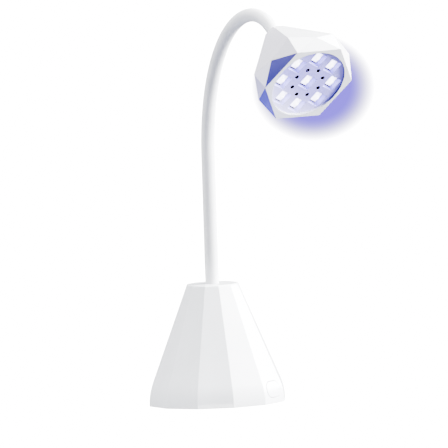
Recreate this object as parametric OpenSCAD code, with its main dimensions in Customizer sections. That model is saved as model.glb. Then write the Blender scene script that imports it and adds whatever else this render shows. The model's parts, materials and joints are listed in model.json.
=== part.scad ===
// Gooseneck curing lamp: a faceted weighted base, a bendable neck and a faceted head with nine emitters.
// Origin: centre of the rest plane under the base. +Z up.
// The neck lies in the YZ plane and the head reaches to -Y.

/* [Base shell] */
// Height of the top of the base above the table
base_height = 80; // [78:1:96]
// Distance from the base's axis to the middle of each facet, at its foot
base_radius = 44.7; // [44:0.1:54]
// Radius of the faceted cone at its top, on the corners
base_top_radius = 17.4; // [17:0.1:21]
// How far the cone's corners, carried straight down to the foot, would stand outside it
skirt_inset = 4.4; // [3.6:0.1:6]
// Height of the straight foot of the facets above the table
skirt_foot = 2; // [1.5:0.5:4]
// Rounding of the edge round the top of the base
top_round = 1.5; // [1:0.1:2]
// Wall thickness of the base shell
base_wall = 2.2; // [1.6:0.1:2.6]
// Thickness of the closed top of the base shell
base_roof = 4; // [3:0.5:5]
// Gap between the shell's rim and the table
rim_lift = 0.8; // [0.6:0.1:1.2]

/* [Base inside] */
// Turn of the button, the board and the charging socket away from the head's side
board_turn = 30; // [0:30:60]
// Thickness of the bottom cover
cover_thickness = 2.6; // [2.4:0.1:3.4]
// Radius of the anti-slip pad
pad_radius = 28; // [22:1:29]
// Thickness of the anti-slip pad
pad_thickness = 1.8; // [1.6:0.1:2]
// Radius of the screw posts in the shell
post_radius = 3.4; // [3:0.1:3.8]
// Outer radius of the two ballast weights
weight_radius = 30; // [27:0.5:30.5]
// Height of the ballast weights
weight_height = 14; // [10:1:15]
// Half width of the channel for the board between the weights
weight_channel = 14.5; // [13:0.5:16]
// Radius of the battery cell
cell_radius = 9; // [7:0.5:9.5]
// Length of the battery cell
cell_length = 50; // [40:1:52]
// Width of the control board
board_width = 24; // [18:1:25]
// Thickness of the control board
board_thickness = 1.6; // [1:0.2:2]
// Height of the control board's underside above the cover
board_lift = 3; // [2.5:0.5:4]

/* [Button and charging socket] */
// Width of the button
button_width = 16; // [12:0.5:18]
// Height of the button
button_height = 10.4; // [8:0.2:11]
// Height of the button's centre above the table
button_level = 10; // [9.5:0.5:10.5]
// Travel of the button
button_travel = 0.8; // [0.4:0.1:1]
// Gap between the button and its hole
button_gap = 0.3; // [0.2:0.05:0.5]
// Width of the opening for the charging plug
plug_width = 13; // [12:0.5:14]
// Height of the opening for the charging plug
plug_height = 8; // [7:0.5:9]

/* [Neck] */
// Radius of the neck's silicone sleeve
sleeve_radius = 4.5; // [4:0.1:5]
// Radius of the wound steel hose inside the sleeve
hose_radius = 3.1; // [2.8:0.1:3.4]
// Radius of the hose's bore
hose_bore = 2; // [1.8:0.1:2.2]
// Radius of the lead inside the hose
lead_radius = 1.4; // [1:0.1:1.5]
// Length of neck from the top of the base to the first bending point
first_step = 12; // [10:1:15]
// Distance between bending points in the lower, nearly straight neck
straight_step = 18.5; // [15:0.5:21]
// Length of the first stretch of the arch
curl_step = 24; // [20:0.1:29]
// Turn of the first stretch of the arch, in degrees
curl_turn = 9.6; // [8:0.1:11]
// Each stretch of the arch is this many times tighter than the one below it
curl_tighten = 1.09; // [1.05:0.01:1.1]
// Length of neck from the last bending point to the head
last_step = 6; // [5:0.5:9]
// Lean of the lower neck at rest, in degrees
rest_lean = 1.5; // [0.5:0.5:3]
// Furthest lean each way at each of the two leaning points
lean_range = 14; // [8:1:16]
// Furthest sideways bend each way at each of the two swaying points
sway_range = 14; // [8:1:16]
// How much further the arch can curl, as a share of its bend at rest
curl_more = 0.25; // [0.1:0.05:0.3]

/* [Neck fittings] */
// Length of the threaded ferrule at each end of the hose
ferrule_length = 14; // [12:1:15]
// How deep the sleeve goes into the base and the head
sleeve_seat = 3; // [2:0.5:4]
// Width of the lock nuts across their flats
nut_width = 12.6; // [12:0.2:13]
// Height of the lock nuts
nut_height = 4; // [3:0.5:5]

/* [Head shell] */
// Radius of the hexagonal front of the head, on its corners
head_radius = 32.4; // [32:0.1:39]
// Length of the head from its front to the point where the neck enters
head_length = 52.5; // [50:0.5:63]
// Depth of the ring of corners behind the middle of each front edge
mid_depth = 7.4; // [6:0.2:9]
// How much wider the head's widest ring of corners is than its front
wide_more = 1.6; // [1:0.1:2.4]
// Depth of the head's widest ring of corners
wide_depth = 14.2; // [12:0.2:17]
// Radius of the small hexagon where the neck enters the head
tail_radius = 7.4; // [7:0.1:9]
// Wall thickness of the head shell
head_wall = 2.2; // [1.8:0.1:2.6]
// Width of the flat rim round the opening in the front of the head, at its narrowest
front_rim = 2; // [1.6:0.1:2.2]

/* [Lamp plate and emitters] */
// Depth of the lamp plate's face behind the front of the head
plate_recess = 1.6; // [1:0.1:2.4]
// Thickness of the lamp plate
plate_thickness = 4.2; // [3.6:0.1:5]
// Width of each square well in the lamp plate
well_width = 9.6; // [8:0.1:9.8]
// Radius of the ring of vent holes
vent_ring = 10.9; // [10.6:0.1:11.2]
// Radius of the vent holes
vent_radius = 1.45; // [1:0.05:1.6]
// Radius of the domes over the emitters
dome_radius = 3.2; // [2.6:0.1:3.4]
// Length of the heat sink's fins
fin_length = 8; // [5:0.5:10]

/* [Hidden] */
STRAIGHTS = 4;          // straight stretches of the neck between its bending points
CURLS = 9;              // stretches in the arch
NECK = STRAIGHTS + CURLS;
JOINTS = NECK + 1;
$fn = 96;
small = 32;             // roundness of small round things

sides = 12;             // facets round the base
foot_lag = 1;           // the foot's curve stops this many degrees short of the facets' slope
slide_gap = 0.05;       // radial clearance of the sleeve and the ferrules in their holes
thread_gap = 0.03;      // radial clearance of a screw in its tapped hole
layer_gap = 0.1;        // radial clearance between the neck's layers
hinge_gap = 0.05;       // clearance of the neck's stretches at their bending points
seat_gap = 0.25;        // clearance round the cover and the pad
plate_gap = 0.15;       // clearance round the lamp plate
past = 1;               // how far a cut runs past the face it opens

screw_radius = 1.5;
screw_head = 2.7;
screw_head_height = 1.6;
small_screw = 1;
small_screw_head = 1.9;
small_screw_height = 1.2;
shank_gap = 0.1;        // radial clearance of a screw in a plain hole
wire_radius = 0.6;
bead = 0.1;             // how far the ball at a wire's bend stands out of the wire

// ---- Sizes of the base that follow from the values above ----
foot_radius = base_radius + skirt_inset;
slope = atan((foot_radius - base_top_radius) / (base_height - skirt_foot));
facet_half = 180 / sides;
facet_slope = atan(cos(facet_half) * tan(slope));
function corner_radius(z) = foot_radius - tan(slope) * (z - skirt_foot);
function facet_radius(z) = cos(facet_half) * corner_radius(z);
foot_curve = (facet_radius(skirt_foot) - base_radius) / (tan(facet_slope) * sin(facet_slope) - 1 + cos(facet_slope));
foot_turn = facet_slope - foot_lag;
function inner_radius(z) = min(base_radius - base_wall, facet_radius(z) - base_wall / cos(facet_slope));
function level_of_facet(r) = skirt_foot + (foot_radius - r / cos(facet_half)) / tan(slope);

cover_top = rim_lift + cover_thickness;
cover_radius = base_radius - base_wall - seat_gap;
cover_screw_seat = rim_lift + screw_head_height + 0.4;
post_ring = base_radius - 10;
post_foot = cover_top + 2;
post_top = level_of_facet(post_ring + post_radius + base_wall);
board_level = cover_top + board_lift;
board_top = board_level + board_thickness;
board_front = 9 - base_radius;
board_back = base_radius - 7;
board_hole_side = 9;
board_holes = [for (s = [-1, 1]) for (y = [board_front + 10, board_back - 11]) [s * board_hole_side, y]];
board_chips = [[[-4, -10], [8, 8, 1.2]], [[3, 6], [6, 6, 4]], [[-9, 8], [5, 5, 1.2]]];
board_stud = 2.6;       // radius of the studs that the board's screws go into
weight_holes = [[21, 12], [21, -12]];
weight_stud = 3;
weight_stud_height = 4;
inner_screw_end = pad_thickness + 1.5;
weight_top = cover_top + weight_height;
cradle_thickness = 2;
cradle_top = weight_top + cradle_thickness;
cradle_length = 54;
cradle_width = 30;
saddle_place = 14;
saddle_width = 3;
cell_level = cradle_top + 0.6 + cell_radius;
cell_nub = 1;           // height of the terminal on the cell's end
cell_nub_radius = 2.5;
clip_width = 8;
clip_thickness = 0.8;

boss_radius = 8;
boss_length = 12;
boss_foot = base_height - base_roof - boss_length;
ferrule_top = base_height - sleeve_seat - base_roof;
ferrule_foot = ferrule_top - ferrule_length - 2;

flange_face = base_radius - 6;      // distance of the button's flange from the base's axis
flange_thickness = 1.2;
flange_margin = 1.2;    // how far the flange reaches past the button all round
button_proud = 0.2;     // how far the button stands out of the skirt
stem_radius = 1.1;
stem_length = 2.6;
switch_width = 6;
switch_depth = 3.5;
switch_face = base_radius - 9.8;
stem_tip = switch_face + button_travel + 0.4;
socket_size = [8.94, 7.3, 3.2];
socket_skin = 0.32;
socket_mouth = base_radius - 3.7;   // distance of the socket's mouth from the base's axis

sleeve_bore = hose_radius + layer_gap;
hose_fit = 0.02;        // radial clearance of the hose in its ferrules

// ---- The neck as a chain of stretches in the YZ plane, each from one bending point to the next ----
tightness = [for (k = [0:CURLS - 1]) pow(curl_tighten, k)];
lens = concat([first_step], [for (i = [1:STRAIGHTS]) straight_step], [for (k = tightness) curl_step / k], [last_step]);
turns = concat([for (i = [0:STRAIGHTS]) 0], [for (k = tightness) curl_turn * k], [0]);
function sideways(i) = i == 2 || i == 4;
function unbend(i) = i > STRAIGHTS ? (turns[i - 1] + turns[i]) / 2 : (sideways(i) ? sway_range : lean_range);
function tilt(i) = i == 0 ? 0 : tilt(i - 1) + turns[i - 1] + (i == 1 ? rest_lean : 0);
function bend_radius(i) = lens[i] * 180 / (PI * turns[i]);
function span(i) = turns[i] == 0 ? [0, lens[i]] : bend_radius(i) * [1 - cos(turns[i]), sin(turns[i])];
function leap(s, a) = [0, -s[1] * sin(a) - s[0] * cos(a), s[1] * cos(a) - s[0] * sin(a)];
function place(i) = i == 0 ? [0, 0, base_height] : place(i - 1) + leap(span(i - 1), tilt(i - 1));
function end_gap(i, r) = r * tan(unbend(i) / 2) + hinge_gap;

// ---- Sizes of the head ----
wide_radius = head_radius + wide_more;
front_opening = head_radius * cos(30) - front_rim;
mid_radius = wide_radius * cos(30)
    - (wide_radius - tail_radius) * cos(30) * (mid_depth - wide_depth) / (head_length - wide_depth);
inner_scale = 1 - head_wall / (head_radius * cos(30));
bezel_depth = 4;
tail_block = 9;
plate_radius = front_opening - plate_gap;
lamp_board_radius = plate_radius - 0.9;
well_ring = plate_radius - 6.7;
plate_back = plate_recess + plate_thickness;
lamp_board_thickness = 1.6;
lamp_board_back = plate_back + lamp_board_thickness;
sink_thickness = 2;
sink_back = lamp_board_back + sink_thickness;
sink_radius = lamp_board_radius - 1;
fin_radius = sink_radius - 5;
fin_pitch = 5;
fin_thickness = 1.2;
pattern_turn = 30;      // turn of the plate and all behind it in the head
plate_screw_ring = well_ring - 0.6;
emitter_width = 7;
emitter_height = 1.2;
dome_height = 2.4;
lug_radius = front_opening + 0.9;
lug_width = 8;
lug_turn = 45;

// ---- Small helpers ----
module rod(a, b, r) {
    d = b - a;
    translate(a) rotate([0, acos(d[2] / norm(d)), atan2(d[1], d[0])])
        cylinder(h = norm(d), r = r, $fn = small);
}

module wire(points, r) {
    for (i = [0:len(points) - 2]) rod(points[i], points[i + 1], r);
    for (i = [1:len(points) - 2]) translate(points[i]) sphere(r = r + bead, $fn = small);
}

module in_base() {
    rotate([0, 0, board_turn]) children();
}

module at_posts() {
    for (k = [0:3]) rotate([0, 0, 45 + 90 * k]) translate([post_ring, 0, 0]) children();
}

// A lying oval prism along Y, from y = from to y = to
module oval(width, height, from, to) {
    translate([0, to, 0]) rotate([90, 0, 0]) linear_extrude(to - from)
        union() {
            square([width - height, height], center = true);
            for (s = [-1, 1]) translate([s * (width - height) / 2, 0]) circle(d = height, $fn = 64);
        }
}

module screw(head, head_height, shank, length) {
    translate([0, 0, -head_height]) cylinder(r = head, h = head_height, $fn = small);
    cylinder(r = shank, h = length, $fn = small);
}

// ---- Base ----
// Distance from the axis and level of the middle line of a facet, from the foot to the top
function facet_line(grow) = let (
        steps = 10,
        round_level = base_height - top_round,
        round_middle = facet_radius(round_level + top_round * sin(facet_slope)) - top_round * cos(facet_slope)
    ) concat(
        [[base_radius + grow, rim_lift]],
        [for (i = [0:steps]) let (a = foot_turn * i / steps)
            [base_radius + grow - foot_curve * (1 - cos(a)), skirt_foot + foot_curve * sin(a)]],
        [for (i = [0:6]) let (a = facet_slope + (90 - facet_slope) * i / 6)
            [round_middle + top_round * cos(a), round_level + top_round * sin(a)]]
    );

function facet_ring(p) = [for (k = [0:sides - 1]) let (a = facet_half * (2 * k + 1), r = p[0] / cos(facet_half))
    [r * cos(a), r * sin(a), p[1]]];

module base_form(grow) {
    line = facet_line(grow);
    last = len(line) - 1;
    polyhedron(
        points = [for (p = line) each facet_ring(p)],
        faces = concat(
            [[for (k = [0:sides - 1]) k]],
            [for (i = [0:last - 1]) for (k = [0:sides - 1]) let (n = (k + 1) % sides)
                [sides * i + k, sides * (i + 1) + k, sides * (i + 1) + n, sides * i + n]],
            [[for (k = [sides - 1:-1:0]) sides * last + k]]
        ),
        convexity = 2
    );
}

module base_hollow() {
    top = base_height - base_roof;
    knee = level_of_facet(base_radius - base_wall + base_wall / cos(facet_slope));
    difference() {
        rotate_extrude()
            polygon([[0, -1], [base_radius - base_wall, -1], [base_radius - base_wall, knee],
                [inner_radius(top), top], [0, top]]);
        translate([0, 0, boss_foot]) cylinder(r = boss_radius, h = boss_length + 1);
        in_base() at_posts() translate([0, 0, post_foot])
            cylinder(r = post_radius, h = post_top - post_foot, $fn = small);
    }
}

module base_shell() {
    color("white") difference() {
        base_form(0);
        base_hollow();
        translate([0, 0, boss_foot - 1]) cylinder(r = sleeve_radius + slide_gap, h = base_height);
        in_base() {
            translate([0, 0, button_level])
                oval(button_width + 2 * button_gap, button_height + 2 * button_gap,
                    -foot_radius, -flange_face + 2);
            translate([0, 0, board_top + socket_size[2] / 2])
                oval(plug_width, plug_height, flange_face - 2, foot_radius);
            at_posts() translate([0, 0, post_foot - 1])
                cylinder(r = screw_radius + thread_gap, h = 11, $fn = small);
        }
    }
}

module bottom_cover() {
    color("whitesmoke") difference() {
        union() {
            translate([0, 0, rim_lift]) cylinder(r = cover_radius, h = cover_thickness);
            in_base() {
                at_posts() translate([0, 0, rim_lift])
                    cylinder(r = post_radius + 0.4, h = post_foot - rim_lift, $fn = small);
                for (p = board_holes) translate([p[0], p[1], rim_lift])
                    cylinder(r = board_stud, h = board_level - rim_lift, $fn = small);
                for (s = [-1, 1]) for (p = weight_holes) translate([s * p[0], p[1], rim_lift])
                    cylinder(r = weight_stud, h = cover_thickness + weight_stud_height, $fn = small);
            }
        }
        translate([0, 0, -1]) cylinder(r = pad_radius + seat_gap, h = 1 + pad_thickness);
        in_base() {
            at_posts() {
                cylinder(r = screw_radius + shank_gap, h = post_foot + past, $fn = small);
                cylinder(r = screw_head + 0.3, h = cover_screw_seat, $fn = small);
            }
            for (p = board_holes) translate([p[0], p[1], inner_screw_end - 0.5])
                cylinder(r = small_screw + thread_gap, h = board_level, $fn = small);
            for (s = [-1, 1]) for (p = weight_holes) translate([s * p[0], p[1], inner_screw_end - 0.5])
                cylinder(r = screw_radius + thread_gap, h = weight_height, $fn = small);
        }
    }
}

module anti_slip_pad() {
    color("dimgray") cylinder(r = pad_radius, h = pad_thickness);
}

module cover_screws() {
    color("silver") in_base() at_posts()
        translate([0, 0, cover_screw_seat])
            screw(screw_head, screw_head_height, screw_radius, 10);
}

module ballast_weights() {
    color("slategray") in_base() for (s = [0, 1]) mirror([s, 0, 0])
        difference() {
            intersection() {
                translate([0, 0, cover_top]) cylinder(r = weight_radius, h = weight_height);
                translate([weight_channel, -weight_radius, 0]) cube([weight_radius, 2 * weight_radius, base_height]);
            }
            for (p = weight_holes) translate([p[0], p[1], 0]) {
                cylinder(r = screw_radius + shank_gap, h = base_height, $fn = small);
                cylinder(r = weight_stud + 0.2, h = cover_top + weight_stud_height + 0.2, $fn = small);
            }
        }
}

module weight_screws() {
    color("silver") in_base() for (s = [-1, 1]) for (p = weight_holes)
        translate([s * p[0], p[1], cradle_top]) mirror([0, 0, 1])
            screw(screw_head, screw_head_height, screw_radius, cradle_top - inner_screw_end);
}

module battery_cradle() {
    color("gainsboro") in_base() difference() {
        union() {
            translate([-cradle_length / 2, -cradle_width / 2, weight_top])
                cube([cradle_length, cradle_width, cradle_thickness]);
            for (s = [-1, 1]) translate([s * saddle_place - saddle_width / 2, -cell_radius - 1, cradle_top])
                cube([saddle_width, 2 * cell_radius + 2, cell_radius]);
        }
        translate([-cell_length, 0, cell_level]) rotate([0, 90, 0])
            cylinder(r = cell_radius + layer_gap, h = 2 * cell_length);
        for (s = [-1, 1]) for (p = weight_holes) translate([s * p[0], p[1], 0])
            cylinder(r = screw_radius + shank_gap, h = base_height, $fn = small);
    }
}

module battery_cell() {
    color("steelblue") in_base() translate([-cell_length / 2, 0, cell_level]) rotate([0, 90, 0]) {
        cylinder(r = cell_radius, h = cell_length);
        translate([0, 0, cell_length]) cylinder(r = cell_nub_radius, h = cell_nub, $fn = small);
    }
}

// A sprung clip that holds the cell down on its cradle
module battery_clip() {
    r = cell_radius + layer_gap;
    color("silver") in_base() translate([-clip_width / 2, 0, 0]) {
        difference() {
            union() {
                translate([0, 0, cell_level]) rotate([0, 90, 0])
                    cylinder(r = r + clip_thickness, h = clip_width);
                translate([0, -r - clip_thickness, cradle_top])
                    cube([clip_width, 2 * (r + clip_thickness), cell_level - cradle_top]);
            }
            translate([-1, 0, cell_level]) rotate([0, 90, 0]) cylinder(r = r, h = clip_width + 2);
            translate([-1, -r, cradle_top - 1]) cube([clip_width + 2, 2 * r, cell_level - cradle_top + 1]);
        }
    }
}

// Two wires from the cell's ends down to the control board
module battery_leads() {
    half = cell_length / 2;
    far = half + cell_nub + 1.6;
    color("firebrick") in_base() for (end = [-half, half + cell_nub]) {
        s = sign(end);
        wire([[end, 0, cell_level], [s * far, 0, cell_level], [s * far, -18, cell_level - 7],
            [s * 8, -19, weight_top + 2], [s * 8, -19, board_top]], wire_radius);
    }
}

module control_board() {
    color("seagreen") in_base() {
        difference() {
            translate([-board_width / 2, board_front, board_level])
                cube([board_width, board_back - board_front, board_thickness]);
            for (p = board_holes) translate([p[0], p[1], 0])
                cylinder(r = small_screw + shank_gap, h = base_height, $fn = small);
        }
        for (chip = board_chips) translate([chip[0][0], chip[0][1], board_top]) cube(chip[1]);
    }
}

module board_screws() {
    color("silver") in_base() for (p = board_holes)
        translate([p[0], p[1], board_top]) mirror([0, 0, 1])
            screw(small_screw_head, small_screw_height, small_screw, board_top - inner_screw_end);
}

module charging_socket() {
    color("lightsteelblue") in_base()
        translate([-socket_size[0] / 2, socket_mouth - socket_size[1], board_top]) {
            difference() {
                cube(socket_size);
                translate([socket_skin, 1.2, socket_skin])
                    cube([socket_size[0] - 2 * socket_skin, socket_size[1], socket_size[2] - 2 * socket_skin]);
            }
            translate([1.12, 1, 1.25]) cube([socket_size[0] - 2.24, socket_size[1] - 1.6, 0.7]);
        }
}

module power_button() {
    color("white") in_base() {
        intersection() {
            base_form(button_proud);
            translate([0, 0, button_level]) oval(button_width, button_height, -foot_radius, -flange_face + 0.5);
        }
        translate([0, 0, button_level]) {
            oval(button_width + 2 * flange_margin, button_height + 2 * flange_margin,
                -flange_face, -flange_face + flange_thickness);
            rod([0, -flange_face + 0.5, 0], [0, -stem_tip, 0], 1.7);
        }
    }
}

module button_switch() {
    color("dimgray") in_base() difference() {
        translate([-switch_width / 2, -switch_face, board_top])
            cube([switch_width, switch_depth, 2 * (button_level - board_top)]);
        rod([0, -switch_face - past, button_level], [0, -switch_face + stem_length, button_level],
            stem_radius + 0.08);
    }
}

module switch_stem() {
    color("black") in_base()
        rod([0, -stem_tip, button_level], [0, -stem_tip + stem_length, button_level], stem_radius);
}

module hex_nut(bore) {
    difference() {
        cylinder(r = nut_width / 2 / cos(30), h = nut_height, $fn = 6);
        translate([0, 0, -1]) cylinder(r = bore, h = nut_height + 2);
    }
}

module lower_ferrule() {
    color("silver") translate([0, 0, ferrule_foot]) difference() {
        cylinder(r = sleeve_radius, h = ferrule_top - ferrule_foot);
        translate([0, 0, -1]) cylinder(r = hose_radius, h = ferrule_length + 5);
    }
}

module lower_nut() {
    color("silver") translate([0, 0, boss_foot - nut_height]) hex_nut(sleeve_radius + thread_gap);
}

// ---- Neck ----
// Runs its children in the frame of stretch i: the origin at its lower bending point, +Z along it
module at_stretch(i) {
    translate(place(i)) rotate([tilt(i), 0, 0]) children();
}

module ring(outer, inner) {
    difference() {
        circle(r = outer, $fn = 64);
        if (inner > 0) circle(r = inner, $fn = 64);
    }
}

// One stretch of a layer of the neck, held clear of both its bending points
module neck_layer(i, outer, inner) {
    low = end_gap(i, outer);
    high = end_gap(i + 1, outer);
    at_stretch(i)
        if (turns[i] == 0)
            translate([0, 0, low]) linear_extrude(lens[i] - high - low) ring(outer, inner);
        else {
            r = bend_radius(i);
            first = low / lens[i] * turns[i];
            sweep = (lens[i] - high - low) / lens[i] * turns[i];
            translate([0, -r, 0]) rotate([90, 0, 90]) rotate([0, 0, first])
                rotate_extrude(angle = sweep) translate([r, 0]) ring(outer, inner);
        }
}

// A straight end of a layer, from one level to another above the bending point of stretch i
module neck_end(i, outer, inner, from, to) {
    at_stretch(i) translate([0, 0, from]) linear_extrude(to - from) ring(outer, inner);
}

module neck_sleeve(i) {
    color("white") neck_layer(i, sleeve_radius, sleeve_bore);
}

// The wound steel hose, and the lead inside it
module neck_core(i) {
    color("silver") neck_layer(i, hose_radius, hose_bore);
    color("black") neck_layer(i, lead_radius, 0);
}

module neck_sleeve_base() {
    color("white") neck_end(0, sleeve_radius, sleeve_bore,
        ferrule_top - base_height, first_step - end_gap(1, sleeve_radius));
}

module neck_hose_base() {
    color("silver") neck_end(0, hose_radius - hose_fit, hose_bore,
        ferrule_foot + 1 - base_height, first_step - end_gap(1, hose_radius));
}

// The lamp's lead from the control board up through the lower ferrule
module lamp_lead() {
    bend_level = cell_level + cell_radius + 3;
    color("black") in_base() wire([[0, 20, board_top], [0, 20, bend_level], [0, 0, bend_level + 9],
        [0, 0, base_height + first_step - end_gap(1, lead_radius)]], lead_radius);
}

module neck_sleeve_head() {
    color("white") neck_end(JOINTS, sleeve_radius, sleeve_bore,
        end_gap(JOINTS, sleeve_radius), last_step + sleeve_seat);
}

module neck_hose_head() {
    color("silver") neck_end(JOINTS, hose_radius - hose_fit, hose_bore,
        end_gap(JOINTS, hose_radius), last_step + sleeve_seat + ferrule_length - 1);
}

// The lead from the last bending point through the head's ferrule to the lamp board
module head_lead() {
    fin_top = sink_back + fin_length;
    landing = sink_radius - 3;
    color("black") at_head() wire([[0, landing, sink_back], [0, landing, fin_top + 2], [0, 0, fin_top + 12],
        [0, 0, head_length + last_step - end_gap(JOINTS, lead_radius)]], lead_radius);
}

// ---- Head ----
// Runs its children in the head's frame: the origin at the centre of its front, +Z towards the neck
module at_head() {
    at_stretch(JOINTS) translate([0, 0, last_step + head_length]) rotate([180, 0, 0]) children();
}

function head_ring(r, depth, turn) = [for (k = [0:5]) [r * cos(60 * k + turn), r * sin(60 * k + turn), depth]];

module head_form() {
    points = concat(
        head_ring(head_radius, 0, 0),
        head_ring(mid_radius, mid_depth, 30),
        head_ring(wide_radius, wide_depth, 0),
        head_ring(tail_radius, head_length, 0)
    );
    faces = concat(
        [[0, 1, 2, 3, 4, 5]],
        [for (k = [0:5]) let (n = (k + 1) % 6) [k, 6 + k, n]],
        [for (k = [0:5]) let (n = (k + 5) % 6) [k, 12 + k, 6 + k]],
        [for (k = [0:5]) let (n = (k + 5) % 6) [k, 6 + n, 12 + k]],
        [for (k = [0:5]) let (n = (k + 1) % 6) [6 + k, 12 + k, 18 + k, 18 + n, 12 + n]],
        [[23, 22, 21, 20, 19, 18]]
    );
    polyhedron(points = points, faces = faces, convexity = 4);
}

module head_shell() {
    color("white") at_head() difference() {
        head_form();
        intersection() {
            scale(inner_scale) head_form();
            translate([-head_radius * 2, -head_radius * 2, bezel_depth])
                cube([head_radius * 4, head_radius * 4, head_length - tail_block - bezel_depth]);
        }
        translate([0, 0, -1]) cylinder(r = front_opening, h = bezel_depth + 2);
        translate([0, 0, head_length / 2]) cylinder(r = sleeve_radius + slide_gap, h = head_length);
    }
}

module at_wells() {
    children();
    for (k = [0:7]) let (a = 22.5 + 45 * k)
        translate([well_ring * cos(a), well_ring * sin(a), 0]) children();
}

module at_plate_screws() {
    for (k = [0:3]) rotate([0, 0, 90 * k]) translate([plate_screw_ring, 0, 0]) children();
}

module vents(from, to) {
    for (k = [0:7]) rotate([0, 0, 45 * k]) translate([vent_ring, 0, from])
        cylinder(r = vent_radius, h = to - from, $fn = small);
}

module in_pattern() {
    at_head() rotate([0, 0, pattern_turn]) children();
}

module lamp_plate() {
    color("plum") in_pattern() difference() {
        union() {
            translate([0, 0, plate_recess]) cylinder(r = plate_radius, h = plate_thickness);
            for (k = [0:2]) rotate([0, 0, 120 * k + lug_turn])
                intersection() {
                    translate([0, 0, bezel_depth + 0.1]) cylinder(r = lug_radius, h = plate_back - bezel_depth - 0.1);
                    translate([plate_radius - 2, -lug_width / 2, 0]) cube([4, lug_width, plate_back]);
                }
        }
        at_wells() translate([0, 0, plate_recess + plate_thickness / 2])
            cube([well_width, well_width, plate_thickness + 2], center = true);
        vents(0, plate_back + 1);
        at_plate_screws() translate([0, 0, plate_recess + 1])
            cylinder(r = small_screw + thread_gap, h = plate_thickness, $fn = small);
    }
}

module lamp_board() {
    color("seagreen") in_pattern() difference() {
        translate([0, 0, plate_back]) cylinder(r = lamp_board_radius, h = lamp_board_thickness);
        vents(plate_back - 1, lamp_board_back + 1);
        at_plate_screws() cylinder(r = small_screw + shank_gap, h = sink_back + past, $fn = small);
    }
}

module emitters() {
    color("lightyellow") in_pattern() at_wells()
        translate([-emitter_width / 2, -emitter_width / 2, plate_back - emitter_height])
            cube([emitter_width, emitter_width, emitter_height]);
}

// A low dome whose height and foot radius are given
module dome(r, h) {
    ball = (r * r + h * h) / (2 * h);
    intersection() {
        translate([0, 0, ball - h]) sphere(r = ball);
        translate([-r, -r, -h - 1]) cube([2 * r, 2 * r, h + 1]);
    }
}

module emitter_domes() {
    color("lavender") in_pattern() at_wells()
        translate([0, 0, plate_back - emitter_height]) dome(dome_radius, dome_height);
}

module heat_sink() {
    color("silver") in_pattern() difference() {
        union() {
            translate([0, 0, lamp_board_back]) cylinder(r = sink_radius, h = sink_thickness);
            intersection() {
                translate([0, 0, lamp_board_back]) cylinder(r = fin_radius, h = sink_thickness + fin_length);
                for (k = [-3:3]) translate([k * fin_pitch - fin_thickness / 2, -fin_radius, lamp_board_back])
                    cube([fin_thickness, 2 * fin_radius, sink_thickness + fin_length]);
            }
        }
        at_plate_screws() {
            cylinder(r = small_screw + shank_gap, h = head_length, $fn = small);
            translate([0, 0, sink_back]) cylinder(r = small_screw_head + 0.4, h = fin_length + 1, $fn = small);
        }
    }
}

module head_screws() {
    color("silver") in_pattern() at_plate_screws() translate([0, 0, sink_back]) mirror([0, 0, 1])
        screw(small_screw_head, small_screw_height, small_screw, sink_back - plate_recess - 1.5);
}

module upper_ferrule() {
    color("silver") at_head() translate([0, 0, head_length - sleeve_seat - ferrule_length]) difference() {
        cylinder(r = sleeve_radius, h = ferrule_length);
        translate([0, 0, -1]) cylinder(r = hose_radius, h = ferrule_length + 2);
    }
}

module upper_nut() {
    color("silver") at_head() translate([0, 0, head_length - tail_block - nut_height])
        hex_nut(sleeve_radius + thread_gap);
}

base_shell();
bottom_cover();
anti_slip_pad();
cover_screws();
ballast_weights();
weight_screws();
battery_cradle();
battery_cell();
battery_clip();
battery_leads();
control_board();
board_screws();
charging_socket();
power_button();
button_switch();
switch_stem();
lower_ferrule();
lower_nut();
lamp_lead();
neck_hose_base();
neck_sleeve_base();
for (i = [1:NECK]) {
    neck_sleeve(i);
    neck_core(i);
}
neck_sleeve_head();
neck_hose_head();
head_lead();
upper_ferrule();
upper_nut();
head_shell();
lamp_plate();
lamp_board();
emitters();
emitter_domes();
heat_sink();
head_screws();
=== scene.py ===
import json
import math
import bmesh
import bpy
from mathutils import Matrix, Vector


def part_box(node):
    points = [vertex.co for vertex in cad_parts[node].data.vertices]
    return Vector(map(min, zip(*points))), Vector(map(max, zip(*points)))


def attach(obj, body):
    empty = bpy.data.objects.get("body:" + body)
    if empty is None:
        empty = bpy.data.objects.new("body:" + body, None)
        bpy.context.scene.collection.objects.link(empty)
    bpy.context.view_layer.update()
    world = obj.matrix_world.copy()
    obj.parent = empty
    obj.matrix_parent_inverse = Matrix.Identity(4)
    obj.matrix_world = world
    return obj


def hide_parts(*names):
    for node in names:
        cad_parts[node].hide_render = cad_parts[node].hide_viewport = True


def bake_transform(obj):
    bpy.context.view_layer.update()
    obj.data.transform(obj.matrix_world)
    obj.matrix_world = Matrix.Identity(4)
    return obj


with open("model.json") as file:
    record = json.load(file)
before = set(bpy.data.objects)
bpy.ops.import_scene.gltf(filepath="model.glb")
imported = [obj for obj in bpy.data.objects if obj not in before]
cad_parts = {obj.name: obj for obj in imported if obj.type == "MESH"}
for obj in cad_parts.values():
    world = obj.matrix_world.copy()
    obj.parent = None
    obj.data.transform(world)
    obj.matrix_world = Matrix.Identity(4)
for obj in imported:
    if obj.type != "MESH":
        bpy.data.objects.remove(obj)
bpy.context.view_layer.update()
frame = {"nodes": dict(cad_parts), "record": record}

joints = {j["name"]: j for j in frame["record"]["behaviour"]["joints"]}


def direction(azimuth, elevation):
    """The unit vector towards a place that is this far round and this far up, in radians."""
    level = math.cos(elevation)
    return Vector((math.sin(azimuth) * level, -math.cos(azimuth) * level, math.sin(elevation)))


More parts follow.
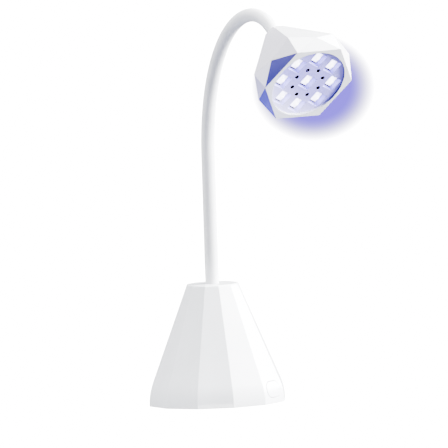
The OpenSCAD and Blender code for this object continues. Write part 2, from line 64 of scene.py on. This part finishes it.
# ---- Camera: a long lens, far off, a little rolled ----
AZIMUTH, ELEVATION, ROLL = math.radians(-28.5), math.radians(5.0), math.radians(2.5)
DISTANCE = 12.0
VIEW_WIDTH = 0.2971             # how wide the view is at the lamp
VIEW_MIDDLE = (0.0043, 0.1189)  # to the right of and above the middle of the lamp's foot
SENSOR_WIDTH = 36.0
VIEW_DEPTH = 60.0


def camera_basis():
    """The view's right, its up, and the way back from the lamp to the camera."""
    back = direction(AZIMUTH, ELEVATION)
    level = Vector((math.cos(AZIMUTH), math.sin(AZIMUTH), 0.0))
    upright = back.cross(level)
    right = level * math.cos(ROLL) - upright * math.sin(ROLL)
    up = upright * math.cos(ROLL) + level * math.sin(ROLL)
    return right, up, back


def place_camera():
    right, up, back = camera_basis()
    lens = bpy.data.cameras.new("studio_camera")
    lens.sensor_width = SENSOR_WIDTH
    lens.lens = SENSOR_WIDTH * DISTANCE / VIEW_WIDTH
    lens.clip_end = VIEW_DEPTH
    camera = bpy.data.objects.new("studio_camera", lens)
    bpy.context.scene.collection.objects.link(camera)
    spot = right * VIEW_MIDDLE[0] + up * VIEW_MIDDLE[1] + back * DISTANCE
    turn = Matrix((right, up, back)).transposed().to_4x4()
    camera.matrix_world = Matrix.Translation(spot) @ turn
    bpy.context.scene.camera = camera


place_camera()

# ---- The neck's middle line ----
NECK_JOINTS = ["neck_lean", "neck_sway", "neck_lean_upper", "neck_sway_upper", "neck_curl"]
NECK_JOINTS += ["neck_curl_%d" % k for k in range(2, 11)]
STRAIGHT_STRETCHES = 4          # below the first curl the neck is straight at rest
CURVE_STEPS = 24                # points along each stretch
BASE_SOCKET = 0.003             # how far the skin goes down into the base
HEAD_SOCKET = 0.0085            # how far it goes on past the last joint
HEAD_STEPS = 12


def neck_line():
    """The joints' places, and points with tilts along the middle line, one list per stretch."""
    points = [Vector(joints[n]["pos_m"]) for n in NECK_JOINTS]
    chord = [math.atan2(-(b - a).y, (b - a).z) for a, b in zip(points, points[1:])]
    base_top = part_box("base_shell")[1][2]
    stretches = [[(Vector((0, 0, base_top - BASE_SOCKET)), 0.0), (points[0], 0.0)]]
    tilt = chord[0]
    for k, (a, b) in enumerate(zip(points, points[1:])):
        turn = 2 * (chord[k] - tilt) if k >= STRAIGHT_STRETCHES else 0.0
        line = []
        for n in range(CURVE_STEPS + 1):
            share = n / CURVE_STEPS
            if abs(turn) < 1e-6:
                line.append((a.lerp(b, share), chord[k]))
                continue
            radius = (b - a).length / (2 * math.sin(turn / 2))
            middle = a + Vector((0, -math.cos(tilt), -math.sin(tilt))) * radius
            angle = tilt + turn * share
            line.append((middle + Vector((0, math.cos(angle), math.sin(angle))) * radius, angle))
        stretches.append(line)
        tilt = tilt + turn
    end = points[-1] + Vector((0, -math.sin(tilt), math.cos(tilt))) * HEAD_SOCKET
    stretches.append([(points[-1].lerp(end, n / HEAD_STEPS), tilt) for n in range(HEAD_STEPS + 1)])
    return points, stretches


NECK_POINTS, NECK_STRETCHES = neck_line()

# ---- The head's own directions, and the middle of its front ----
HEAD_REACH = 0.0585             # from the neck's last joint to the head's front
HEAD_TILT = NECK_STRETCHES[-1][0][1]
ACROSS = Vector((1, 0, 0))
FORWARD = Vector((0, -math.sin(HEAD_TILT), math.cos(HEAD_TILT)))
UPWARD = FORWARD.cross(ACROSS)
FRONT_MIDDLE = NECK_POINTS[-1] + FORWARD * HEAD_REACH
PLATE_LOW, PLATE_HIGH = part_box("lamp_plate")
PLATE_HEIGHT = (PLATE_LOW[2] + PLATE_HIGH[2]) / 2


# ---- Material building ----
class Value:
    """A shader socket that can be added, multiplied and so on."""

    def __init__(self, shader, socket):
        self.shader, self.socket = shader, socket

    def _math(self, kind, a, b):
        return self.shader.node("ShaderNodeMath", {"operation": kind}, {0: a, 1: b})[0]

    def __add__(self, other): return self._math("ADD", self, other)
    def __radd__(self, other): return self._math("ADD", other, self)
    def __sub__(self, other): return self._math("SUBTRACT", self, other)
    def __rsub__(self, other): return self._math("SUBTRACT", other, self)
    def __mul__(self, other): return self._math("MULTIPLY", self, other)
    def __rmul__(self, other): return self._math("MULTIPLY", other, self)
    def __pow__(self, other): return self._math("POWER", self, other)
    def __rpow__(self, other): return self._math("POWER", other, self)

    def ramp(self, low, high, to_low=0.0, to_high=1.0, kind="SMOOTHSTEP"):
        return self.shader.node("ShaderNodeMapRange", {"interpolation_type": kind, "clamp": True},
                                {"Value": self, "From Min": low, "From Max": high,
                                 "To Min": to_low, "To Max": to_high})[0]


def rgba(colour):
    """A plain colour with its alpha. Anything else stays as it is."""
    return (*colour, 1.0) if isinstance(colour, tuple) and len(colour) == 3 else colour


def scaled(colour, factor):
    return tuple(min(1.0, c * factor) for c in colour)


class Shader:
    """A material under construction."""

    def __init__(self, name):
        self.material = bpy.data.materials.new(name)
        self.material.use_nodes = True
        self.tree = self.material.node_tree
        self.tree.nodes.clear()
        self.out = self.tree.nodes.new("ShaderNodeOutputMaterial")

    def node(self, kind, settings=None, inputs=None):
        made = self.tree.nodes.new(kind)
        for key, value in (settings or {}).items():
            setattr(made, key, value)
        for key, value in (inputs or {}).items():
            socket = made.inputs[key]
            if isinstance(value, Value):
                self.tree.links.new(value.socket, socket)
            elif value is not None:
                socket.default_value = value
        return [Value(self, s) for s in made.outputs]

    def finish(self, made):
        self.tree.links.new(made.socket, self.out.inputs["Surface"])
        return self.material

    def place(self):
        return self.node("ShaderNodeTexCoord")[3]

    def facing(self):
        return self.node("ShaderNodeTexCoord")[1]

    def split(self, vector):
        return self.node("ShaderNodeSeparateXYZ", {}, {"Vector": vector})

    def dot(self, vector, other):
        return self.node("ShaderNodeVectorMath", {"operation": "DOT_PRODUCT"},
                         {0: vector, 1: tuple(other)})[1]

    def noise(self, scale, detail):
        return self.node("ShaderNodeTexNoise", {},
                         {"Vector": self.place(), "Scale": scale, "Detail": detail})[0]

    def blend_colour(self, factor, first, second):
        return self.node("ShaderNodeMix", {"data_type": "RGBA"},
                         {0: factor, 6: rgba(first), 7: rgba(second)})[2]

    def bump(self, height, distance, strength=1.0, normal=None):
        return self.node("ShaderNodeBump", {}, {"Strength": strength, "Distance": distance,
                                                "Height": height, "Normal": normal})[0]

    def rounded(self, radius):
        return self.node("ShaderNodeBevel", {"samples": 6}, {"Radius": radius})[0]

    def surface(self, **inputs):
        named = {key.replace("_", " "): rgba(value) for key, value in inputs.items()}
        return self.finish(self.node("ShaderNodeBsdfPrincipled", {}, named)[0])


# ---- Finishes ----
WHITE, WHITE_LIGHT = (0.86, 0.87, 0.90), (0.89, 0.90, 0.93)


def moulded_gloss(s, mottled, colour, edge):
    """The gloss of the moulded white parts, with their edges rounded by edge."""
    fine = s.noise(900.0, 2.0)
    return s.surface(Base_Color=colour, Roughness=mottled.ramp(0.3, 0.7, 0.17, 0.24),
                     Normal=s.bump(fine, 0.00002, 0.35, s.rounded(edge)),
                     IOR=1.5, Coat_Weight=0.25, Coat_Roughness=0.08)


def glossy_white_plastic(name, edge, tint=WHITE):
    s = Shader(name)
    mottled = s.noise(55.0, 4.0)
    colour = s.blend_colour(mottled.ramp(0.35, 0.65), tint, scaled(tint, 1.03))
    return moulded_gloss(s, mottled, colour, edge)


def head_plastic():
    """The shell's white, with painted shade on the faces turned to the left and the lamp's violet light
    painted as a glow on the small facets between its front and one side.
    """
    s = Shader("glossy_white_head")
    normal = s.facing()
    frontward = s.dot(normal, FORWARD)
    sideways = s.dot(normal, (-1.0, 0.0, 0.0))
    mottled = s.noise(55.0, 4.0)
    drift = s.noise(38.0, 1.0)
    white = s.blend_colour(mottled.ramp(0.35, 0.65), WHITE, WHITE_LIGHT)
    # Painted shade: grey-lilac on the faces turned to the left, away from the key light.
    white_with_painted_shade = s.blend_colour((sideways - 0.1).ramp(0.25, 0.55), white, (0.66, 0.64, 0.72))
    # Painted light: the lamp's violet light painted as colour on the small facets at the front's left
    # side.
    painted_violet_glow = s.blend_colour(drift.ramp(0.35, 0.65), (0.085, 0.070, 0.40), (0.16, 0.14, 0.58))
    sloping = frontward.ramp(0.45, 0.52) * (1.0 - frontward.ramp(0.70, 0.80))
    colour = s.blend_colour(sloping * sideways.ramp(0.50, 0.60), white_with_painted_shade, painted_violet_glow)
    return moulded_gloss(s, mottled, colour, 0.0004)


def silicone_skin():
    s = Shader("neck_silicone")
    cloud = s.noise(70.0, 3.0)
    grain = s.noise(2400.0, 2.0)
    colour = s.blend_colour(cloud.ramp(0.3, 0.7), (0.78, 0.79, 0.81), (0.85, 0.85, 0.87))
    return s.surface(Base_Color=colour, Roughness=cloud.ramp(0.3, 0.7, 0.40, 0.50),
                     Normal=s.bump(grain, 0.00002, 0.5), IOR=1.42,
                     Sheen_Weight=0.15, Sheen_Roughness=0.4)


def lilac_plate():
    """The lilac plate round the emitters, glowing with painted light from them and brighter towards its
    lower left as a painted pool of light.
    """
    s = Shader("lilac_plate")
    cloud = s.noise(120.0, 3.0)
    colour = s.blend_colour(cloud.ramp(0.3, 0.7), (0.36, 0.32, 0.88), (0.42, 0.38, 0.94))
    x, _, z = s.split(s.place())
    # Painted light: the plate's emission, dark violet over most of it and white towards its lower left,
    # stands in for the emitters' light falling on it.
    lit = (0.0 - x * 0.6 - (z - PLATE_HEIGHT)).ramp(0.002, 0.030)
    glow = s.blend_colour(lit, (0.05, 0.04, 0.22), (1.0, 1.0, 1.0))
    return s.surface(Base_Color=colour, Roughness=cloud.ramp(0.3, 0.7, 0.22, 0.32),
                     Normal=s.rounded(0.0003), Coat_Weight=0.3, Coat_Roughness=0.1,
                     Emission_Color=glow, Emission_Strength=1.6)


def opening_wall():
    """The round wall of the front opening: in shade on one side and lit on the other."""
    s = Shader("opening_wall")
    x, _, z = s.split(s.place())
    lit = (0.0 - x * 0.7 - (z - PLATE_HEIGHT)).ramp(-0.004, 0.014)
    cloud = s.noise(200.0, 2.0)
    shade = s.blend_colour(cloud.ramp(0.3, 0.7), (0.030, 0.020, 0.20), (0.045, 0.035, 0.28))
    colour = s.blend_colour(lit, shade, (0.86, 0.87, 0.92))
    return s.surface(Base_Color=colour, Roughness=cloud.ramp(0.3, 0.7, 0.25, 0.35),
                     Specular_IOR_Level=0.3)


def painted_shade_bore():
    s = Shader("vent_painted_shade")
    # Painted shade: near black for the inside of the vent holes; the noise varies its tone a little.
    shade_mottle = s.noise(1500.0, 2.0)
    colour = s.blend_colour(shade_mottle.ramp(0.3, 0.7), (0.004, 0.004, 0.006), (0.010, 0.009, 0.016))
    return s.surface(Base_Color=colour, Roughness=shade_mottle.ramp(0.3, 0.7, 0.7, 0.9),
                     Specular_IOR_Level=0.1)


def metal(name, colour, rough, streak=400.0):
    s = Shader(name)
    brushed = s.noise(streak, 5.0)
    tint = s.blend_colour(brushed.ramp(0.3, 0.7), scaled(colour, 0.86), colour)
    return s.surface(Base_Color=tint, Metallic=1.0, Normal=s.rounded(0.0002),
                     Roughness=brushed.ramp(0.3, 0.7, rough * 0.8, rough * 1.3))


def matt(name, colour, rough):
    s = Shader(name)
    speck = s.noise(1500.0, 3.0)
    tint = s.blend_colour(speck.ramp(0.35, 0.65), scaled(colour, 0.85), colour)
    return s.surface(Base_Color=tint, Normal=s.bump(speck, 0.00003, 0.6),
                     Roughness=speck.ramp(0.3, 0.7, rough * 0.9, min(1.0, rough * 1.1)))


def lit_lens():
    """The lit domes: white in the middle and violet towards their edges."""
    s = Shader("lit_dome")
    edgeward = s.node("ShaderNodeLayerWeight", {}, {"Blend": 0.35})[1]
    colour = s.blend_colour(edgeward.ramp(0.15, 0.75), (1.0, 1.0, 1.0), (0.62, 0.60, 1.0))
    return s.surface(Base_Color=(0.9, 0.9, 1.0), Roughness=0.12, IOR=1.45,
                     Emission_Color=colour, Emission_Strength=7.0)


def carrier_white_painted_glow():
    s = Shader("emitter_carrier")
    speck = s.noise(900.0, 2.0)
    tint = s.blend_colour(speck.ramp(0.35, 0.65), (0.80, 0.79, 0.95), (0.90, 0.89, 1.0))
    # Painted light: the emission makes the carriers glow as if lit by their emitters; they are no lamps
    # themselves.
    return s.surface(Base_Color=tint, Roughness=speck.ramp(0.3, 0.7, 0.3, 0.45),
                     Normal=s.rounded(0.0002), Emission_Color=(0.90, 0.88, 1.0), Emission_Strength=4.5)


def printed_board(name, colour):
    """A board's coloured mask, with its tracks a little lighter and raised."""
    s = Shader(name)
    tracks = s.node("ShaderNodeTexVoronoi", {"feature": "DISTANCE_TO_EDGE"},
                    {"Vector": s.place(), "Scale": 260.0})[0]
    tint = s.blend_colour(tracks.ramp(0.02, 0.06), scaled(colour, 1.5), colour)
    return s.surface(Base_Color=tint, Roughness=tracks.ramp(0.0, 0.1, 0.30, 0.42),
                     Normal=s.bump(tracks.ramp(0.0, 0.05), 0.00003))


WHITE_SHELL = glossy_white_plastic("glossy_white_shell", 0.0006)
SILICONE = silicone_skin()
FINISHES = {
    "base_shell": WHITE_SHELL,
    "bottom_cover": WHITE_SHELL,
    "head_shell": head_plastic(),
    "power_button": glossy_white_plastic("glossy_white_button", 0.0004, (0.84, 0.85, 0.89)),
    "lamp_plate": lilac_plate(),
    "emitters": carrier_white_painted_glow(),
    "emitter_domes": lit_lens(),
    "anti_slip_pad": matt("anti_slip_rubber", (0.05, 0.05, 0.055), 0.85),
    "ballast_weights": metal("ballast_steel", (0.30, 0.31, 0.33), 0.5),
    "battery_cradle": matt("cradle_plastic", (0.75, 0.75, 0.76), 0.55),
    "battery_cell": matt("cell_sleeve", (0.10, 0.25, 0.55), 0.35),
    "control_board": printed_board("control_board_mask", (0.03, 0.22, 0.11)),
    # The lamp board's near-black is its mask colour and also painted shade in the gaps round the
    # emitters, the only place it shows.
    "lamp_board": printed_board("lamp_board_mask_and_gap_shade", (0.012, 0.010, 0.022)),
    "button_switch": matt("switch_plastic", (0.04, 0.04, 0.045), 0.45),
    "switch_stem": matt("stem_plastic", (0.03, 0.03, 0.03), 0.4),
    "heat_sink": metal("sink_aluminium", (0.78, 0.79, 0.81), 0.35, 900.0),
}
for fitting in ("lower_ferrule", "lower_nut", "upper_ferrule", "upper_nut"):
    FINISHES[fitting] = metal("ferrule_brass_" + fitting, (0.75, 0.60, 0.34), 0.28)
for steel in ("cover_screws", "weight_screws", "board_screws", "head_screws", "battery_clip",
              "charging_socket"):
    FINISHES[steel] = metal("plated_" + steel, (0.70, 0.71, 0.73), 0.25)
for lead in ("battery_leads", "lamp_lead", "head_lead"):
    FINISHES[lead] = matt("insulation_" + lead, (0.04, 0.04, 0.045), 0.5)
HOSE = metal("wound_hose_steel", (0.55, 0.56, 0.58), 0.4)


def finish_nodes():
    """Gives every node its finish. The neck's stretches are hose or sleeve."""
    for name, piece in frame["nodes"].items():
        material = FINISHES.get(name) or (HOSE if "core" in name or "hose" in name else SILICONE)
        piece.data.materials.clear()
        piece.data.materials.append(material)


finish_nodes()


# ---- Mesh building ----
def ring(shape, centre, across, upward, radius, sides):
    """The points of a circle round centre, in the plane of two directions."""
    turns = (2 * math.pi * n / sides for n in range(sides))
    return [shape.verts.new(centre + (across * math.cos(a) + upward * math.sin(a)) * radius)
            for a in turns]


def bridge(shape, low, high, flip=False):
    """The faces between two rings."""
    sides = len(low)
    made = []
    for n in range(sides):
        m = (n + 1) % sides
        face = [low[n], low[m], high[m], high[n]]
        made.append(shape.faces.new(face[::-1] if flip else face))
    return made


def smooth_all(shape):
    for face in shape.faces:
        face.smooth = True


def new_piece(name, shape, material):
    mesh = bpy.data.meshes.new(name)
    shape.to_mesh(mesh)
    shape.free()
    mesh.materials.append(material)
    piece = bpy.data.objects.new(name, mesh)
    bpy.context.scene.collection.objects.link(piece)
    return piece


# ---- The neck's silicone skin ----
SKIN_RADIUS, SKIN_WALL, SKIN_SIDES = 0.0045, 0.0006, 64
BASE_STEPS = 16                 # points on the skin's first stretch, which stands in the base


def half_of(line, second):
    middle = (len(line) - 1) // 2
    return line[middle:] if second else line[:middle + 1]


def keep_cap_edges_sharp(mesh):
    """The flat ends stay crisp where they meet the smooth walls."""
    sharp = mesh.attributes.new("sharp_edge", "BOOLEAN", "EDGE")
    caps = {tuple(sorted(pair)) for face in mesh.polygons if not face.use_smooth
            for pair in face.edge_keys}
    for edge in mesh.edges:
        if tuple(sorted(edge.vertices)) in caps:
            sharp.data[edge.index].value = True


def skin_tube(name, line):
    """A tube with an outer and an inner wall, run along a list of points and tilts."""
    shape = bmesh.new()
    outer, inner = [], []
    for spot, tilt in line:
        upward = Vector((0, math.cos(tilt), math.sin(tilt)))
        outer.append(ring(shape, spot, ACROSS, upward, SKIN_RADIUS, SKIN_SIDES))
        inner.append(ring(shape, spot, ACROSS, upward, SKIN_RADIUS - SKIN_WALL, SKIN_SIDES))
    for rings, flip in ((outer, False), (inner, True)):
        for low, high in zip(rings, rings[1:]):
            for face in bridge(shape, low, high, flip):
                face.smooth = True
    bridge(shape, outer[0], inner[0], flip=True)
    bridge(shape, outer[-1], inner[-1])
    piece = new_piece(name, shape, SILICONE)
    keep_cap_edges_sharp(piece.data)
    return piece


def build_neck_skin():
    """One piece of skin over each joint, from the middle of one stretch to the middle of the next."""
    last_joint = len(NECK_JOINTS) - 1
    sleeves = ["neck_sleeve_base"] + ["neck_sleeve_%d" % k for k in range(1, last_joint + 1)]
    for k in range(last_joint + 1):
        if k == 0:
            (foot, _), (joint, _) = NECK_STRETCHES[0]
            first = [(foot.lerp(joint, n / BASE_STEPS), 0.0) for n in range(BASE_STEPS + 1)]
        else:
            first = half_of(NECK_STRETCHES[k], True)
        last = NECK_STRETCHES[-1] if k == last_joint else half_of(NECK_STRETCHES[k + 1], False)
        piece = skin_tube("neck_skin_%d" % (k + 1), first[:-1] + last)
        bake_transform(piece)
        covered = [sleeves[k]] + (["neck_sleeve_head"] if k == last_joint else [])
        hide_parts(*covered)


build_neck_skin()

# ---- Painted shade and light in the head's front: dark cups in the vent holes and a band on the opening's wall ----
VENT_COUNT, VENT_SIDES = 8, 32
VENT_RING, VENT_RADIUS, VENT_TURN = 0.0109, 0.00145, math.radians(-30)
VENT_CUP = ((0.985, 0.00168), (0.97, 0.0030), (0.95, 0.0062), (0.02, 0.0064))   # share of radius, depth
OPENING_RADIUS, OPENING_SIDES = 0.02600, 160
OPENING_DEPTHS = (0.00008, 0.0004, 0.0008, 0.0012, 0.00155)


def front_ring(shape, centre, depth, radius, sides):
    return ring(shape, centre - FORWARD * depth, ACROSS, UPWARD, radius, sides)


def vent_shade_cups():
    """Dark cups inside the eight vent holes of the lamp plate, as painted shade in the holes."""
    shape = bmesh.new()
    for k in range(VENT_COUNT):
        turn = VENT_TURN + 2 * math.pi * k / VENT_COUNT
        centre = FRONT_MIDDLE + (ACROSS * math.cos(turn) + UPWARD * math.sin(turn)) * VENT_RING
        rings = [front_ring(shape, centre, depth, VENT_RADIUS * share, VENT_SIDES)
                 for share, depth in VENT_CUP]
        for outer, inner in zip(rings, rings[1:]):
            bridge(shape, outer, inner)
        shape.faces.new(rings[-1])
    bmesh.ops.recalc_face_normals(shape, faces=shape.faces)
    smooth_all(shape)
    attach(new_piece("vent_shade_cups", shape, painted_shade_bore()), "head")


def opening_shade_band():
    """A thin band on the wall of the round opening in the head's front, down to the lamp plate, that
    carries painted shade on one side and painted light on the other.
    """
    shape = bmesh.new()
    rings = [front_ring(shape, FRONT_MIDDLE, depth, OPENING_RADIUS, OPENING_SIDES)
             for depth in OPENING_DEPTHS]
    for outer, inner in zip(rings, rings[1:]):
        bridge(shape, outer, inner)
    smooth_all(shape)
    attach(new_piece("opening_shade_band", shape, opening_wall()), "head")


vent_shade_cups()
opening_shade_band()

# ---- Studio: soft boxes, a white surround and the lamp's own light ----
LAMP_MIDDLE = (0, -0.03, 0.13)
SURROUND = 25.0                           # radius of the white surround
HALO_FULL, HALO_GONE = 0.0245, 0.0415     # from the halo's middle, seen at the lamp's distance
HALO_SHIFT = (0.003, -0.002)              # from the middle of the head's front, right and up
HALO_FLATTEN = 1.3                        # the halo is a little wider than it is high
FADE_START, FADE_GROWTH = 0.005, 190.0    # the halo fades slowly at first and then fast


def soft_box(name, azimuth, elevation, distance, size, power, colour=(1, 1, 1), aim=LAMP_MIDDLE):
    data = bpy.data.lights.new(name, "AREA")
    data.shape = "RECTANGLE"
    data.size, data.size_y = size
    data.energy = power
    data.color = colour
    light = bpy.data.objects.new(name, data)
    towards = direction(math.radians(azimuth), math.radians(elevation))
    light.location = Vector(aim) + distance * towards
    light.rotation_euler = (Vector(aim) - light.location).to_track_quat("-Z", "Y").to_euler()
    bpy.context.scene.collection.objects.link(light)


def halo_place():
    """The halo's middle on the far surround, and how much it has to grow to look the same there."""
    right, up, _ = camera_basis()
    eye = bpy.context.scene.camera.matrix_world.translation
    near = FRONT_MIDDLE + right * HALO_SHIFT[0] + up * HALO_SHIFT[1]
    sight = (near - eye).normalized()
    along = -eye.dot(sight) + math.sqrt(eye.dot(sight) ** 2 - eye.length_squared + SURROUND ** 2)
    return eye + sight * along, along / DISTANCE


def glowing_surround():
    """White, with the lamp's violet glow far behind the head."""
    right, up, _ = camera_basis()
    spot, grown = halo_place()
    s = Shader("white_surround")
    offset = s.node("ShaderNodeVectorMath", {"operation": "SUBTRACT"},
                    {0: s.place(), 1: tuple(spot)})[0]
    x, y = s.dot(offset, right), s.dot(offset, up)
    squared = x * x + y * y * HALO_FLATTEN
    distance = s.node("ShaderNodeMath", {"operation": "SQRT"}, {0: squared})[0]
    reach = distance.ramp(HALO_FULL * grown, HALO_GONE * grown, 0.0, 1.01, "LINEAR")
    fade = 1.0 - FADE_START * (FADE_GROWTH ** reach)
    white = s.node("ShaderNodeEmission", {}, {"Color": (1, 1, 1, 1), "Strength": 20.0})[0]
    painted_violet_glow = s.node("ShaderNodeEmission", {}, {"Color": (0.16, 0.07, 1.0, 1.0), "Strength": 1.9})[0]
    return s.finish(s.node("ShaderNodeMixShader", {}, {0: fade, 1: white, 2: painted_violet_glow})[0])


def white_surround():
    """A very big sphere that only the camera sees."""
    shape = bmesh.new()
    bmesh.ops.create_icosphere(shape, subdivisions=5, radius=SURROUND)
    smooth_all(shape)
    sphere = new_piece("white_surround", shape, glowing_surround())
    for ray in ("diffuse", "glossy", "transmission", "shadow"):
        setattr(sphere, "visible_" + ray, False)


def soft_world():
    world = bpy.data.worlds.new("studio_air")
    world.use_nodes = True
    air = world.node_tree.nodes["Background"]
    air.inputs["Color"].default_value = (0.80, 0.87, 1.0, 1.0)
    air.inputs["Strength"].default_value = 0.62
    bpy.context.scene.world = world


soft_world()
white_surround()
soft_box("key_box", azimuth=66, elevation=25, distance=1.1, size=(1.1, 0.9), power=240)
soft_box("left_box", azimuth=-126, elevation=14, distance=1.2, size=(0.6, 1.0), power=27)
soft_box("top_box", azimuth=60, elevation=80, distance=1.0, size=(0.8, 0.8), power=55)
soft_box("low_front_box", azimuth=-45, elevation=-4, distance=0.18, size=(0.16, 0.02), power=0.32,
         aim=(0, 0, 0.004))
soft_box("violet_spill", azimuth=-78, elevation=-35, distance=0.055, size=(0.03, 0.03), power=0.04,
         colour=(0.10, 0.07, 1.0), aim=FRONT_MIDDLE + Vector((-0.022, 0.008, -0.008)))
